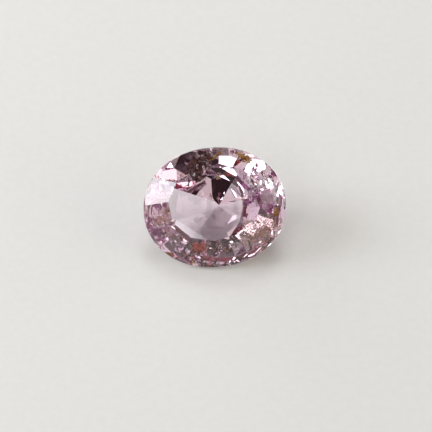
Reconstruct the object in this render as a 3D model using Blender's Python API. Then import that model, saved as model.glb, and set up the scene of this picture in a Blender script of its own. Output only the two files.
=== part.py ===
"""A loose kunzite gemstone, cut as an oval brilliant and lying on one facet of its pavilion.

The stone is made the way a cutter makes it: a block is ground down facet by facet. Each facet is one flat
cut, and it is a little off its place, as in a stone cut by hand. The cuts are worked out in the stone's own
frame, where the girdle lies flat around the origin, X is its long axis, Y its short axis and the table faces
+Z. The finished stone is then laid down on the facet it rests on. Lengths are in metres. A share is a part of
the girdle's outline, measured from that outline's centre.
"""

import math
import random
from collections import namedtuple

import bmesh
import bpy
from mathutils import Matrix, Vector

# Girdle
LENGTH = 0.0120
WIDTH = 0.0101
OUTLINE_POWER = 2.09  # 2 is a true ellipse, more is squarer
GIRDLE_THICKNESS = 0.00024
GIRDLE_FLATS = 64

# Crown and table
CROWN_HEIGHT = 0.0017
TABLE_SHARE = 0.60
TABLE_SHIFT = Vector((0.00028, 0.00058))
TABLE_LEAN = Vector((math.radians(-3.5), math.radians(-1.0)))  # along the long and the short axis
CROWN_MAINS = 12
CROWN_TURN = math.radians(7.5)  # of the first main from the long axis
STAR_RISE = 0.90  # of the crown's height, where the star facets end
STAR_SHARE = 0.89
STAR_TOP_SHARE = 0.97  # of the table's own share
UPPER_RISE = 0.58  # of the crown's height, where the upper girdle facets are set
UPPER_SHARE = 0.91

# Pavilion
PAVILION_DEPTH = 0.0039
CULET_SHIFT = Vector((0.0005, 0.0001))
PAVILION_MAINS = 8
PAVILION_TURN = math.radians(-9.5)
LOWER_DROP = 0.75  # of the pavilion's depth, where the lower girdle facets are set
LOWER_SHARE = 0.38
BREAK_DROP = 0.33  # of the pavilion's depth, where the break facets under the girdle are set
BREAK_SHARE = 0.75
REST_MAIN = 6  # the main facet that the stone lies on, counted from the long axis

# The cutter's hand: how far a facet may be off its place
TURN_SLIP = math.radians(3.0)
LEAN_SLIP = math.radians(0.6)
HAND_SEED = 3005

BLOCK_SIZE = 2 * LENGTH
# Points nearer than this are one point
WELD = 1e-6

# A copy of the girdle's outline, moved, scaled and raised
Ring = namedtuple("Ring", "centre scale height")

ORIGIN_2D = Vector((0.0, 0.0))
GIRDLE_TOP = Ring(ORIGIN_2D, 1.0, GIRDLE_THICKNESS / 2)
GIRDLE_BOTTOM = Ring(ORIGIN_2D, 1.0, -GIRDLE_THICKNESS / 2)
CULET = Ring(CULET_SHIFT, 0.0, GIRDLE_BOTTOM.height - PAVILION_DEPTH)


def clear_scene():
    for thing in list(bpy.data.objects):
        bpy.data.objects.remove(thing, do_unlink=True)


def signed_power(value, power):
    return math.copysign(abs(value) ** power, value)


def outline(turn):
    """A point of the girdle's outline and the outline's outward normal there."""
    c, s = math.cos(turn), math.sin(turn)
    bend = 2 / OUTLINE_POWER
    point = Vector((LENGTH / 2 * signed_power(c, bend), WIDTH / 2 * signed_power(s, bend)))
    normal = Vector((signed_power(c, 2 - bend) / LENGTH, signed_power(s, 2 - bend) / WIDTH))
    return point, normal.normalized()


def plane_over(turn, lower, upper, hinge, lean=0.0):
    """The plane that touches two rings on the side that faces turn, leaning about where it touches the hinge.

    The hinge is a ring too. The plane is given as a point of the hinge and an outward normal.
    """
    point, normal = outline(turn)
    reach = normal.dot(point)
    low, high, held = [normal.dot(ring.centre) + ring.scale * reach for ring in (lower, upper, hinge)]
    slope = Matrix.Rotation(lean, 2) @ Vector((upper.height - lower.height, low - high)).normalized()
    outward = Vector((normal.x * slope.x, normal.y * slope.x, slope.y))
    return Vector((normal.x * held, normal.y * held, hinge.height)), outward


def grind(stone, plane):
    """Takes off all of the stone beyond the plane and closes it with one flat facet."""
    point, normal = plane
    everything = stone.verts[:] + stone.edges[:] + stone.faces[:]
    bmesh.ops.bisect_plane(
        stone, geom=everything, dist=WELD / 10, plane_co=point, plane_no=normal, clear_outer=True
    )
    rim = [edge for edge in stone.edges if edge.is_boundary]
    if rim:
        bmesh.ops.edgeloop_fill(stone, edges=rim)


def turns(count, start):
    return [start + math.tau * step / count for step in range(count)]


def block():
    """A closed block that holds the whole stone."""
    stone = bmesh.new()
    bmesh.ops.create_cube(stone, size=BLOCK_SIZE)
    return stone


def grind_girdle(stone):
    for turn in turns(GIRDLE_FLATS, math.pi / GIRDLE_FLATS):
        point, normal = outline(turn)
        grind(stone, (point.to_3d(), normal.to_3d()))


def grind_tier(stone, hand, places, lower, upper, hinge, true_one=None):
    """Grinds facets that touch two rings, all slipped a little but for the true one."""
    for number, turn in enumerate(places):
        slip = hand.uniform(-TURN_SLIP, TURN_SLIP)
        lean = hand.uniform(-LEAN_SLIP, LEAN_SLIP)
        if number == true_one:
            slip = lean = 0.0
        grind(stone, plane_over(turn + slip, lower, upper, hinge, lean))


def grind_crown(stone, hand):
    top = GIRDLE_TOP.height + CROWN_HEIGHT
    table = Ring(TABLE_SHIFT, TABLE_SHARE, top)
    star_low = Ring(TABLE_SHIFT * STAR_RISE, STAR_SHARE, GIRDLE_TOP.height + CROWN_HEIGHT * STAR_RISE)
    star_high = Ring(TABLE_SHIFT, TABLE_SHARE * STAR_TOP_SHARE, top)
    upper_high = Ring(TABLE_SHIFT * UPPER_RISE, UPPER_SHARE, GIRDLE_TOP.height + CROWN_HEIGHT * UPPER_RISE)
    step = math.tau / CROWN_MAINS
    grind_tier(stone, hand, turns(CROWN_MAINS, CROWN_TURN), GIRDLE_TOP, table, GIRDLE_TOP)
    grind_tier(stone, hand, turns(CROWN_MAINS, CROWN_TURN + step / 2), star_low, star_high, star_high)
    grind_tier(stone, hand, turns(2 * CROWN_MAINS, CROWN_TURN + step / 4), GIRDLE_TOP, upper_high, GIRDLE_TOP)
    grind(stone, (Vector((*TABLE_SHIFT, top)), Vector((*TABLE_LEAN, 1)).normalized()))


def pavilion_ring(drop, share):
    """The ring at a drop below the girdle, on the slanting line from the girdle's centre to the culet."""
    return Ring(CULET_SHIFT * drop, share, GIRDLE_BOTTOM.height - PAVILION_DEPTH * drop)


def grind_pavilion(stone, hand):
    lower = pavilion_ring(LOWER_DROP, LOWER_SHARE)
    low_break = pavilion_ring(BREAK_DROP, BREAK_SHARE)
    step = math.tau / PAVILION_MAINS
    mains = turns(PAVILION_MAINS, PAVILION_TURN)
    grind_tier(stone, hand, mains, CULET, GIRDLE_BOTTOM, GIRDLE_BOTTOM, true_one=REST_MAIN)
    lowers = turns(2 * PAVILION_MAINS, PAVILION_TURN + step / 4)
    grind_tier(stone, hand, lowers, lower, GIRDLE_BOTTOM, GIRDLE_BOTTOM)
    breaks = turns(4 * PAVILION_MAINS, PAVILION_TURN + step / 8)
    grind_tier(stone, hand, breaks, low_break, GIRDLE_BOTTOM, GIRDLE_BOTTOM)


def lay_down(stone):
    """Turns the stone so that its resting facet is flat on the ground and its table faces towards -Y."""
    rest_turn = turns(PAVILION_MAINS, PAVILION_TURN)[REST_MAIN]
    down = plane_over(rest_turn, CULET, GIRDLE_BOTTOM, GIRDLE_BOTTOM)[1]
    tip = down.rotation_difference(Vector((0, 0, -1))).to_matrix()
    girdle_axis = tip @ Vector((0, 0, 1))
    heading = math.atan2(girdle_axis.y, girdle_axis.x)
    turn = Matrix.Rotation(-math.pi / 2 - heading, 3, "Z")
    bmesh.ops.transform(stone, matrix=(turn @ tip).to_4x4(), verts=stone.verts)
    low = Vector([min(vert.co[axis] for vert in stone.verts) for axis in range(3)])
    high = Vector([max(vert.co[axis] for vert in stone.verts) for axis in range(3)])
    middle = (low + high) / 2
    bmesh.ops.translate(stone, verts=stone.verts, vec=(-middle.x, -middle.y, -low.z))


def lilac_stone():
    material = bpy.data.materials.new("clear_lilac_spodumene")
    material.use_nodes = True
    shader = material.node_tree.nodes["Principled BSDF"]
    shader.inputs["Base Color"].default_value = (0.87, 0.74, 0.86, 1.0)
    shader.inputs["Metallic"].default_value = 0.0
    shader.inputs["Roughness"].default_value = 0.02
    shader.inputs["IOR"].default_value = 1.67
    shader.inputs["Transmission Weight"].default_value = 1.0
    return material


def main():
    clear_scene()
    hand = random.Random(HAND_SEED)
    stone = block()
    grind_girdle(stone)
    grind_crown(stone, hand)
    grind_pavilion(stone, hand)
    bmesh.ops.remove_doubles(stone, verts=stone.verts, dist=WELD)
    lay_down(stone)
    mesh = bpy.data.meshes.new("kunzite_gem")
    stone.to_mesh(mesh)
    stone.free()
    gem = bpy.data.objects.new("kunzite_gem", mesh)
    gem.data.materials.append(lilac_stone())
    collection = bpy.data.collections.new("kunzite gemstone")
    bpy.context.scene.collection.children.link(collection)
    collection.objects.link(gem)


main()
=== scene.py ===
import math
import random
from collections import namedtuple

import bmesh
import bpy
from mathutils import Matrix, Vector


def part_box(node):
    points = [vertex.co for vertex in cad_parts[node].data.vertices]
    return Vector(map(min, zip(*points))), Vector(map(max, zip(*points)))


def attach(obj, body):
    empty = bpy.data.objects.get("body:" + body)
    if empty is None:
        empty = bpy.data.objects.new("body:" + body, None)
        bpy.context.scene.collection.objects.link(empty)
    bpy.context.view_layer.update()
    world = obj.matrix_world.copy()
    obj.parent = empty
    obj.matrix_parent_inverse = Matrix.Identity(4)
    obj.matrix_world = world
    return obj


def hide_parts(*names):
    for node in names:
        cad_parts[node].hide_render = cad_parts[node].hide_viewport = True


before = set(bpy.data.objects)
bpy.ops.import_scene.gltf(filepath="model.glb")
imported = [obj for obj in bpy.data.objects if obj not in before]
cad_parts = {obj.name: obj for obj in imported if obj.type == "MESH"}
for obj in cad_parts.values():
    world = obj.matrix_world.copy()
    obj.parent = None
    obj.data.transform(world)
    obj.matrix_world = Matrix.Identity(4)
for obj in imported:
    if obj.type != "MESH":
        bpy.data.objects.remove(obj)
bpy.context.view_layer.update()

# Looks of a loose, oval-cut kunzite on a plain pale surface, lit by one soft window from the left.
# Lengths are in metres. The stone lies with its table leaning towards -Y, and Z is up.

FINE_DETAIL = 3.0  # of a noise, in octaves

NODE = "kunzite_gem"
STONE_LOW, STONE_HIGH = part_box(NODE)
STONE_MIDDLE = (STONE_LOW + STONE_HIGH) / 2

# Camera: where it stands as seen from the stone, and what it looks at
CAMERA_SIDE = math.radians(-1.7)  # from the way the table leans, to the camera's left
CAMERA_RISE = math.radians(58.0)
CAMERA_DISTANCE = 0.25
VIEW_WIDTH = 0.0364
AIM_SHIFT = (0.00011, -0.00088)  # right and up in the picture
SENSOR = 36.0  # in millimetres, as Blender counts it
NEAREST_SEEN = 0.001

# Light. Sides and rises of lamps are in degrees, with a side of 0 for the picture's right and 90 for away
# from the camera. All lamps are equally far from the stone.
LIGHT_DISTANCE = 0.40
WINDOW_SIDE = 170
WINDOW_RISE = 28
WINDOW_SIZE = (0.185, 0.156)
WINDOW_RADIANCE = 9.6
COOL = (0.98, 1.00, 1.08)
WARM = (1.03, 1.00, 0.90)
# The room's light by its rise, as pairs of the rise's sine and a colour
ROOM = [(0.0, (0.15, 0.12, 0.11)), (0.3, (0.110, 0.085, 0.080)), (0.4, (0.024, 0.014, 0.014))]
BOUNCES = 24
VOLUME_BOUNCES = 2

# The surface that the stone lies on, a hair below it as over fine dust
FLOOR_DROP = 0.00004
FLOOR_HALF = 0.6
PAPER = [(0.3, (0.775, 0.768, 0.742)), (0.7, (0.795, 0.788, 0.762))]
PAPER_ROUGHNESS = 0.9
PAPER_WAVE = 0.0006
PAPER_DEPTH = 0.00002

# The clear stone
STONE_IOR = 1.67
STONE_COLOUR = (0.84, 0.20, 0.66)
ABSORPTION = 35.0  # per metre, of what the colour leaves out
FACET_EDGE = 0.000015
GIRDLE_SLOPE = 0.15  # girdle flats stand this near to square on the table
POLISH_WAVE = 0.0015
POLISH_DEPTH = 0.0000006
GIRDLE_COLOUR = (0.62, 0.56, 0.58)
GIRDLE_ROUGHNESS = 0.55
GIRDLE_CLEAR = 0.8
GIRDLE_WAVE = 0.00012
GIRDLE_DEPTH = 0.000006
WELD = 1e-7
FLAT_ANGLE = math.radians(0.05)  # faces that meet at less than this are one facet
EDGE_ANGLE = math.radians(3)  # an edge where facets meet at less than this is not rounded

# The stone's flaws, and dark grains and plates of painted shade, in clouds of grains or of thin plates. A
# cloud lies around its middle and faces one way, and it reaches half its width, height and depth from there.
# The radius of each grain or plate is drawn from the given range, and lengthwise it is stretched by up to
# the longest.
Cloud = namedtuple("Cloud", "middle facing half radius longest count")
TABLE_FACING = (-0.06, -0.62, 0.79)
PEACH_FACING = (0.40, -0.80, 0.42)
BACK_STAIN = Cloud(
    middle=(0.0023, 0.0031, 0.0061), facing=(0.17, 0.20, 0.96), half=(0.0008, 0.0005, 0.00004),
    radius=(0.00005, 0.00013), longest=1.8, count=190
)
BACK_STREAK = Cloud(
    middle=(0.0001, 0.0030, 0.0064), facing=(-0.19, 0.19, 0.96), half=(0.0009, 0.00016, 0.00003),
    radius=(0.00003, 0.00009), longest=2.2, count=90
)
RIGHT_STAIN = Cloud(
    middle=(0.0051, -0.0004, 0.0034), facing=(0.57, -0.61, 0.55), half=(0.0003, 0.00045, 0.00005),
    radius=(0.00004, 0.00010), longest=1.6, count=90
)
RED_PATCH = Cloud(
    middle=(-0.00117, -0.00315, 0.0019), facing=(-0.11, -0.92, 0.37), half=(0.0008, 0.0006, 0.00004),
    radius=(0.00004, 0.00012), longest=1.6, count=170
)
ROSY_PATCH = Cloud(
    middle=(0.0012, 0.0016, 0.0059), facing=TABLE_FACING, half=(0.0005, 0.0003, 0.0001),
    radius=(0.00003, 0.00007), longest=1.6, count=40
)
PALE_CRYSTAL = Cloud(
    middle=(0.0002, 0.0013, 0.0060), facing=TABLE_FACING, half=(0.00035, 0.0003, 0.0001),
    radius=(0.00004, 0.00009), longest=1.5, count=45
)
PEACH_CLOUD = Cloud(
    middle=(0.0039, -0.0016, 0.0023), facing=PEACH_FACING, half=(0.0022, 0.0016, 0.0006),
    radius=(0.00002, 0.00006), longest=2.2, count=1500
)
HOLLOW_CLOUD = Cloud(
    middle=(0.0039, -0.0017, 0.0023), facing=PEACH_FACING, half=(0.0022, 0.0018, 0.0007),
    radius=(0.00003, 0.00009), longest=3.5, count=120
)
RIGHT_CRACKS = Cloud(
    middle=(0.0037, 0.0017, 0.0048), facing=(0.4, -0.3, 0.8), half=(0.0014, 0.0020, 0.0008),
    radius=(0.00012, 0.00045), longest=2.2, count=44
)
BACK_CRACKS = Cloud(
    middle=(-0.0010, 0.0023, 0.0056), facing=(-0.2, 0.1, 0.97), half=(0.0025, 0.0008, 0.0006),
    radius=(0.00012, 0.00035), longest=2.4, count=30
)
LEFT_CRACKS = Cloud(
    middle=(-0.0038, -0.0019, 0.0021), facing=(-0.3, -0.8, 0.5), half=(0.0012, 0.0010, 0.0006),
    radius=(0.00012, 0.00035), longest=2.0, count=20
)
FRONT_CRACKS = Cloud(
    middle=(0.0008, -0.0028, 0.0017), facing=(0.1, -0.9, 0.4), half=(0.0018, 0.0006, 0.0004),
    radius=(0.00010, 0.00025), longest=2.0, count=18
)
DARK_SPECKS = Cloud(
    middle=(0.0039, -0.0018, 0.0023), facing=PEACH_FACING, half=(0.0021, 0.0015, 0.0006),
    radius=(0.00002, 0.00005), longest=4.0, count=60
)
# Dark needles across the top band: partly the stone's brown-black streaks, partly painted shade that deepens
# the band's dark reflections
STREAK_AND_SHADE_BAND = Cloud(
    middle=(-0.0009, 0.0022, 0.0058), facing=(-0.15, 0.05, 0.98), half=(0.0023, 0.0007, 0.00015),
    radius=(0.00003, 0.00008), longest=6.0, count=140
)
# Dark needles near the front rim: painted shade that darkens the dark band along the bottom
PAINTED_SHADE_FRONT = Cloud(
    middle=(0.0008, -0.0029, 0.0020), facing=(0.13, -0.92, 0.36), half=(0.0013, 0.00028, 0.00015),
    radius=(0.00003, 0.00006), longest=6.0, count=50
)
RIGHT_FILMS = Cloud(
    middle=(0.0043, 0.0005, 0.0041), facing=(0.6, -0.4, 0.7), half=(0.0011, 0.0015, 0.0006),
    radius=(0.00015, 0.00045), longest=2.0, count=30
)
LEFT_FILMS = Cloud(
    middle=(-0.0043, -0.0020, 0.0021), facing=(-0.4, -0.8, 0.5), half=(0.0010, 0.0011, 0.0005),
    radius=(0.00015, 0.00045), longest=2.0, count=30
)
# Brownish dark plates under the top: painted shade that darkens the top band
PAINTED_SHADE_FILMS = Cloud(
    middle=(-0.0014, 0.0022, 0.0057), facing=(-0.20, 0.05, 0.97), half=(0.0022, 0.0008, 0.0004),
    radius=(0.00010, 0.00035), longest=3.0, count=32
)
MIDDLE_FILMS = Cloud(
    middle=(0.0032, 0.0004, 0.0045), facing=(0.2, -0.4, 0.9), half=(0.0010, 0.0012, 0.0005),
    radius=(0.00015, 0.00040), longest=2.2, count=22
)

# Grains: uneven balls, flattened across their length, as ranges and shares of the radius
GRAIN_WIDTH = (0.4, 0.9)
GRAIN_THICKNESS = (0.3, 0.7)
GRAIN_RAGGED = 0.2
GRAIN_DEPTH = 1.3  # of a grain's half length, how deep its middle lies at least

# Plates: cracks and films, thin and flat, with ragged rims
PLATE_THICKNESS = 0.000005
PLATE_DEPTH = 3  # of its thickness, how deep a plate's rim lies at least
PLATE_CORNERS = (4, 7)
PLATE_CORNER_SLIP = 0.3  # of the turn from one corner to the next
PLATE_REACH = (0.6, 1.0)  # of the radius, to each corner
CLEAVAGES = ((0.80, -0.20, 0.55), (-0.45, -0.70, 0.55))
CLEAVAGE_SPREAD = 0.30
CRACK_WAVE = 0.0002
CRACK_DEPTH = 0.000001

# Colours of the minerals and of the painted shade, as pairs of a place along the noise and a colour
RUST = [(0.32, (0.16, 0.050, 0.010)), (0.45, (0.60, 0.27, 0.04)), (0.60, (0.90, 0.60, 0.18))]
PEACH = [(0.30, (0.98, 0.42, 0.24)), (0.45, (1.0, 0.60, 0.40)), (0.60, (1.0, 0.82, 0.68))]
# Near black: the real dark specks, and painted shade in the needles and films of the dark bands
SPECK_AND_SHADE_DARK = [(0.35, (0.030, 0.009, 0.006)), (0.60, (0.24, 0.080, 0.050))]
PLUM = [(0.35, (0.42, 0.12, 0.30)), (0.60, (0.62, 0.30, 0.55))]
RED = [(0.35, (0.50, 0.050, 0.040)), (0.60, (0.90, 0.20, 0.15))]


def unit(side, rise):
    """A direction, its side turned from the picture's right over the back, and its rise from level."""
    right, back = picture_axes()
    flat = right * math.cos(side) + back * math.sin(side)
    return flat * math.cos(rise) + Vector((0, 0, 1)) * math.sin(rise)


def picture_axes():
    """The level directions to the picture's right and away from the camera."""
    to_camera = Vector((-math.sin(CAMERA_SIDE), -math.cos(CAMERA_SIDE), 0))
    return Vector((0, 0, 1)).cross(to_camera), -to_camera


def look_at(thing, place, target):
    thing.location = place
    thing.rotation_euler = (target - place).to_track_quat("-Z", "Y").to_euler()


def add_object(name, data):
    thing = bpy.data.objects.new(name, data)
    bpy.context.scene.collection.objects.link(thing)
    return thing


def mesh_object(name, shape, *materials):
    mesh = bpy.data.meshes.new(name)
    shape.to_mesh(mesh)
    shape.free()
    for material in materials:
        mesh.materials.append(material)
    return add_object(name, mesh)


def add_camera():
    camera = add_object("camera", bpy.data.cameras.new("camera"))
    camera.data.sensor_width = SENSOR
    camera.data.lens = SENSOR * CAMERA_DISTANCE / VIEW_WIDTH
    camera.data.clip_start = NEAREST_SEEN
    away = unit(-math.pi / 2, CAMERA_RISE)
    right = picture_axes()[0]
    up = right.cross(-away).normalized()
    target = STONE_MIDDLE + right * AIM_SHIFT[0] + up * AIM_SHIFT[1]
    look_at(camera, target + away * CAMERA_DISTANCE, target)
    bpy.context.scene.camera = camera


def add_lamp(name, side, rise, shape, size, radiance, colour):
    """A flat lamp that shows the wanted radiance from its front, with its side and rise in degrees."""
    lamp = bpy.data.lights.new(name, "AREA")
    lamp.shape = shape
    lamp.size, lamp.size_y = size
    area = size[0] * size[1] * (math.pi / 4 if shape == "DISK" else 1)
    lamp.energy = radiance * math.pi * area
    lamp.color = colour
    light = add_object(name, lamp)
    light.visible_camera = False
    away = unit(math.radians(side), math.radians(rise))
    look_at(light, STONE_MIDDLE + away * LIGHT_DISTANCE, STONE_MIDDLE)


def add_card(name, side, rise, spread, radiance, colour=WARM):
    """A round card that is as wide as the spread in degrees, seen from the stone."""
    size = 2 * LIGHT_DISTANCE * math.tan(math.radians(spread) / 2)
    add_lamp(name, side, rise, "DISK", (size, size), radiance, colour)


def add_light():
    add_lamp("window_light", WINDOW_SIDE, WINDOW_RISE, "RECTANGLE", WINDOW_SIZE, WINDOW_RADIANCE, COOL)
    add_card("right_spot", side=343, rise=15, spread=20, radiance=1.20)
    add_card("right_card", side=2, rise=18, spread=56, radiance=1.45)
    add_card("back_left_card", side=130, rise=10, spread=46, radiance=2.20)
    add_card("front_right_card", side=302, rise=14, spread=56, radiance=0.60)
    add_card("front_spot", side=254, rise=39, spread=12, radiance=2.90, colour=COOL)
    add_card("front_left_spot", side=237, rise=45, spread=11, radiance=4.40, colour=COOL)
    add_card("front_left_card", side=210, rise=33, spread=50, radiance=0.10)
    add_card("front_left_high_spot", side=210, rise=45, spread=20, radiance=1.00)
    add_card("window_low_glow", side=210, rise=12, spread=56, radiance=0.60)
    add_card("ceiling_front", side=254, rise=74, spread=40, radiance=0.26)
    add_card("ceiling_left", side=186, rise=62, spread=56, radiance=0.46)
    add_card("ceiling_back", side=88, rise=60, spread=38, radiance=1.25, colour=COOL)
    add_card("back_spot", side=86, rise=46, spread=18, radiance=7.50, colour=COOL)
    add_card("front_left_top_spot", side=232, rise=54, spread=8, radiance=3.20)


def add_room():
    """A dim, warm room, a little paler along the horizon."""
    world = bpy.data.worlds.new("room")
    world.use_nodes = True
    tree = world.node_tree
    direction = tree.nodes.new("ShaderNodeTexCoord")
    split = tree.nodes.new("ShaderNodeSeparateXYZ")
    tree.links.new(direction.outputs["Generated"], split.inputs["Vector"])
    colour = ramp(tree, split.outputs["Z"], ROOM)
    tree.links.new(colour, tree.nodes["Background"].inputs["Color"])
    bpy.context.scene.world = world


def new_material(name):
    material = bpy.data.materials.new(name)
    material.use_nodes = True
    return material, material.node_tree, material.node_tree.nodes["Principled BSDF"]


def noise(tree, wave, detail=2.0, rough=0.5):
    """A noise with waves of the given length, in the object's own frame."""
    place = tree.nodes.new("ShaderNodeTexCoord")
    pattern = tree.nodes.new("ShaderNodeTexNoise")
    pattern.inputs["Scale"].default_value = 1 / wave
    pattern.inputs["Detail"].default_value = detail
    pattern.inputs["Roughness"].default_value = rough
    tree.links.new(place.outputs["Object"], pattern.inputs["Vector"])
    return pattern.outputs["Fac"]


def ramp(tree, value, stops):
    """Colours along a value, as pairs of place and colour."""
    node = tree.nodes.new("ShaderNodeValToRGB")
    tree.links.new(value, node.inputs["Fac"])
    elements = node.color_ramp.elements
    while len(elements) < len(stops):
        elements.new(0.5)
    for element, (place, colour) in zip(elements, stops):
        element.position = place
        element.color = (*colour, 1)
    return node.outputs["Color"]


def bump(tree, height, depth, shader):
    node = tree.nodes.new("ShaderNodeBump")
    node.inputs["Distance"].default_value = depth
    tree.links.new(height, node.inputs["Height"])
    tree.links.new(node.outputs["Normal"], shader.inputs["Normal"])


def glass(name, colour=(1, 1, 1), roughness=0.0, clear=1.0):
    """A material that bends light like the stone and is clear by the given share."""
    material, tree, shader = new_material(name)
    shader.inputs["Base Color"].default_value = (*colour, 1)
    shader.inputs["Roughness"].default_value = roughness
    shader.inputs["IOR"].default_value = STONE_IOR
    shader.inputs["Transmission Weight"].default_value = clear
    return material, tree, shader


def clear_kunzite():
    """The polished stone, which takes up a little of the light that goes through it."""
    material, tree, shader = glass("clear_kunzite")
    bump(tree, noise(tree, POLISH_WAVE), POLISH_DEPTH, shader)
    absorb = tree.nodes.new("ShaderNodeVolumeAbsorption")
    absorb.inputs["Color"].default_value = (*STONE_COLOUR, 1)
    absorb.inputs["Density"].default_value = ABSORPTION
    tree.links.new(absorb.outputs["Volume"], tree.nodes["Material Output"].inputs["Volume"])
    return material


def frosted_girdle():
    """The unpolished rim of the stone."""
    material, tree, shader = glass("frosted_girdle", GIRDLE_COLOUR, GIRDLE_ROUGHNESS, GIRDLE_CLEAR)
    bump(tree, noise(tree, GIRDLE_WAVE, FINE_DETAIL), GIRDLE_DEPTH, shader)
    return material


def hollow_wall():
    """The finely rippled wall of a hollow or a crack in the stone."""
    material, tree, shader = glass("hollow_wall")
    bump(tree, noise(tree, CRACK_WAVE), CRACK_DEPTH, shader)
    return material


def mineral(name, wave, stops, clear=0.0, roughness=0.5):
    """The colour of grains and films, of minerals and of painted shade, changing over the given wave, clear
    by the given share.
    """
    material, tree, shader = new_material(name)
    tree.links.new(ramp(tree, noise(tree, wave, detail=4.0, rough=0.6), stops), shader.inputs["Base Color"])
    shader.inputs["Roughness"].default_value = roughness
    shader.inputs["Transmission Weight"].default_value = clear
    bump(tree, noise(tree, wave / 4), wave / 8, shader)
    return material


def floor_material():
    material, tree, shader = new_material("pale_paper")
    grain = noise(tree, PAPER_WAVE, FINE_DETAIL)
    tree.links.new(ramp(tree, grain, PAPER), shader.inputs["Base Color"])
    shader.inputs["Roughness"].default_value = PAPER_ROUGHNESS
    bump(tree, grain, PAPER_DEPTH, shader)
    return material


def add_floor():
    plate = bmesh.new()
    bmesh.ops.create_grid(plate, x_segments=1, y_segments=1, size=FLOOR_HALF)
    bmesh.ops.translate(plate, verts=plate.verts, vec=(0, 0, -FLOOR_DROP))
    mesh_object("floor", plate, floor_material())


def ride(piece):
    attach(piece, "root")


def add_stone():
    """The cut stone again, with its facet edges rounded by a hair."""
    stone = bmesh.new()
    stone.from_mesh(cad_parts[NODE].data)
    bmesh.ops.remove_doubles(stone, verts=stone.verts, dist=WELD)
    bmesh.ops.dissolve_limit(stone, angle_limit=FLAT_ANGLE, verts=stone.verts, edges=stone.edges)
    sharp = [edge for edge in stone.edges if edge.calc_face_angle(0) > EDGE_ANGLE]
    bmesh.ops.bevel(
        stone, geom=sharp, offset=FACET_EDGE, segments=1, affect="EDGES", profile=0.5, clamp_overlap=True
    )
    table = max(stone.faces, key=lambda facet: facet.calc_area())
    for facet in stone.faces:
        facet.smooth = False
        if abs(facet.normal.dot(table.normal)) < GIRDLE_SLOPE:
            facet.material_index = 1
    gem = mesh_object("cut_stone", stone, clear_kunzite(), frosted_girdle())
    ride(gem)
    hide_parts(NODE)


def facet_planes():
    """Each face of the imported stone, as its outward normal and its distance along it."""
    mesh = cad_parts[NODE].data
    return [(face.normal.copy(), face.normal.dot(face.center)) for face in mesh.polygons]


def depth_inside(point, planes):
    return min(reach - normal.dot(point) for normal, reach in planes)


def any_direction(rng):
    return Vector([rng.gauss(0, 1) for axis in range(3)])


def in_cloud(cloud, rng):
    """A point of the cloud, likelier near its middle, in metres."""
    share = any_direction(rng).normalized() * math.sqrt(rng.random())
    turned = Vector(cloud.facing).to_track_quat("Z", "Y").to_matrix()
    return Vector(cloud.middle) + turned @ Vector([a * b for a, b in zip(share, cloud.half)])


def strew(cloud, planes, seed, hollow_grains=False):
    """Fine angular grains inside the stone and clear of its surface."""
    rng = random.Random(seed)
    grain = bmesh.new()
    bmesh.ops.create_icosphere(grain, subdivisions=1, radius=1)
    ball = [vert.co.copy() for vert in grain.verts]
    sides = [[vert.index for vert in face.verts] for face in grain.faces]
    grain.free()
    grains = bmesh.new()
    placed = 0
    while placed < cloud.count:
        point = in_cloud(cloud, rng)
        size = rng.uniform(*cloud.radius)
        longer = rng.uniform(1.0, cloud.longest)
        stretch = Vector((longer, rng.uniform(*GRAIN_WIDTH), rng.uniform(*GRAIN_THICKNESS)))
        turn = Matrix.Rotation(rng.uniform(0, math.tau), 3, any_direction(rng))
        if depth_inside(point, planes) < size * stretch.x * GRAIN_DEPTH:
            continue
        shape = turn @ Matrix.Diagonal(stretch)
        corners = []
        for place in ball:
            ragged = Vector([rng.uniform(-GRAIN_RAGGED, GRAIN_RAGGED) for axis in range(3)])
            corners.append(grains.verts.new(point + (shape @ place + ragged) * size))
        for side in sides:
            turned = reversed(side) if hollow_grains else side
            grains.faces.new([corners[corner] for corner in turned])
        placed += 1
    return grains


def cleave(cloud, planes, seed):
    """Thin flat plates inside the stone, near its two cleavages, with faces that look inwards."""
    rng = random.Random(seed)
    plates = bmesh.new()
    placed = 0
    while placed < cloud.count:
        middle = in_cloud(cloud, rng)
        normal = Vector(rng.choice(CLEAVAGES)) + any_direction(rng) * CLEAVAGE_SPREAD
        flat = normal.to_track_quat("Z", "Y").to_matrix() @ Matrix.Rotation(rng.uniform(0, math.tau), 3, "Z")
        size = rng.uniform(*cloud.radius)
        long = rng.uniform(1.0, cloud.longest)
        count = rng.randint(*PLATE_CORNERS)
        rim = []
        for corner in range(count):
            turn = math.tau * (corner + rng.uniform(-PLATE_CORNER_SLIP, PLATE_CORNER_SLIP)) / count
            reach = size * rng.uniform(*PLATE_REACH)
            rim.append(middle + flat @ Vector((reach * long * math.cos(turn), reach * math.sin(turn), 0)))
        if min(depth_inside(point, planes) for point in rim) < PLATE_THICKNESS * PLATE_DEPTH:
            continue
        rise = flat @ Vector((0, 0, PLATE_THICKNESS / 2))
        upper = [plates.verts.new(point + rise) for point in rim]
        lower = [plates.verts.new(point - rise) for point in rim]
        plates.faces.new(reversed(upper))
        plates.faces.new(lower)
        for near in range(count):
            far = (near + 1) % count
            plates.faces.new((lower[far], lower[near], upper[near], upper[far]))
        placed += 1
    return plates


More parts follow.
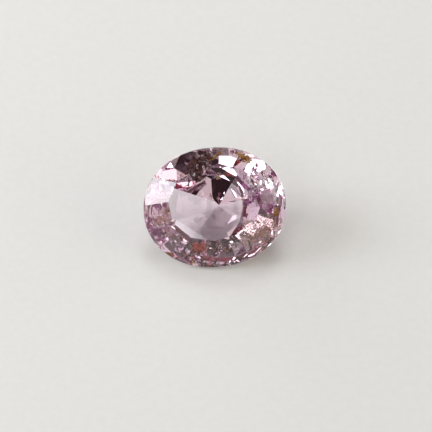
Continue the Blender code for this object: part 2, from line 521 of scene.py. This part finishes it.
def add_inclusions():
    planes = facet_planes()
    rust = mineral("iron_stain", wave=0.0003, stops=RUST)
    peach = mineral("peach_grain", wave=0.0005, stops=PEACH, clear=0.22)
    red = mineral("red_film", wave=0.0006, stops=RED)
    # near-black needles: real dark specks, and painted shade in the dark bands
    speck_and_shade = mineral("speck_and_painted_shade_needle", wave=0.0003, stops=SPECK_AND_SHADE_DARK)
    plum = mineral("plum_film", wave=0.0004, stops=PLUM, clear=0.9, roughness=0.05)
    # a dark, half-clear film: painted shade for the top band
    shade_film = mineral("painted_shade_film", wave=0.0003, stops=SPECK_AND_SHADE_DARK, clear=0.3, roughness=0.15)
    wall = hollow_wall()
    for name, cloud, seed, material in (
        ("back_stain", BACK_STAIN, 3, rust),
        ("back_streak", BACK_STREAK, 4, rust),
        ("right_stain", RIGHT_STAIN, 5, rust),
        ("peach_grains", PEACH_CLOUD, 6, peach),
        ("pale_crystal", PALE_CRYSTAL, 8, peach),
        ("red_patch", RED_PATCH, 9, red),
        ("rosy_patch", ROSY_PATCH, 10, red),
        # dark needles: real streaks and painted shade in the top band
        ("streaks_and_painted_shade_band", STREAK_AND_SHADE_BAND, 15, speck_and_shade),
        # dark needles: painted shade along the bottom band
        ("painted_shade_front", PAINTED_SHADE_FRONT, 16, speck_and_shade),
        ("dark_specks", DARK_SPECKS, 19, speck_and_shade),
    ):
        ride(mesh_object(name, strew(cloud, planes, seed), material))
    hollows = strew(HOLLOW_CLOUD, planes, seed=7, hollow_grains=True)
    ride(mesh_object("fine_hollows", hollows, wall))
    for name, cloud, seed, material in (
        ("right_cracks", RIGHT_CRACKS, 11, wall),
        ("back_cracks", BACK_CRACKS, 12, wall),
        ("left_cracks", LEFT_CRACKS, 13, wall),
        ("front_cracks", FRONT_CRACKS, 14, wall),
        ("right_films", RIGHT_FILMS, 17, plum),
        ("left_films", LEFT_FILMS, 18, plum),
        ("middle_films", MIDDLE_FILMS, 20, plum),
        # dark plates: painted shade in the top band
        ("painted_shade_films", PAINTED_SHADE_FILMS, 21, shade_film),
    ):
        ride(mesh_object(name, cleave(cloud, planes, seed), material))


def set_view():
    """Plain colours, and enough bounces for the light to find its way through the stone."""
    scene = bpy.context.scene
    scene.view_settings.view_transform = "Standard"
    scene.cycles.max_bounces = BOUNCES
    scene.cycles.transmission_bounces = BOUNCES
    scene.cycles.glossy_bounces = BOUNCES
    scene.cycles.volume_bounces = VOLUME_BOUNCES


add_camera()
add_light()
add_room()
add_floor()
add_stone()
add_inclusions()
set_view()

bpy.context.view_layer.update()
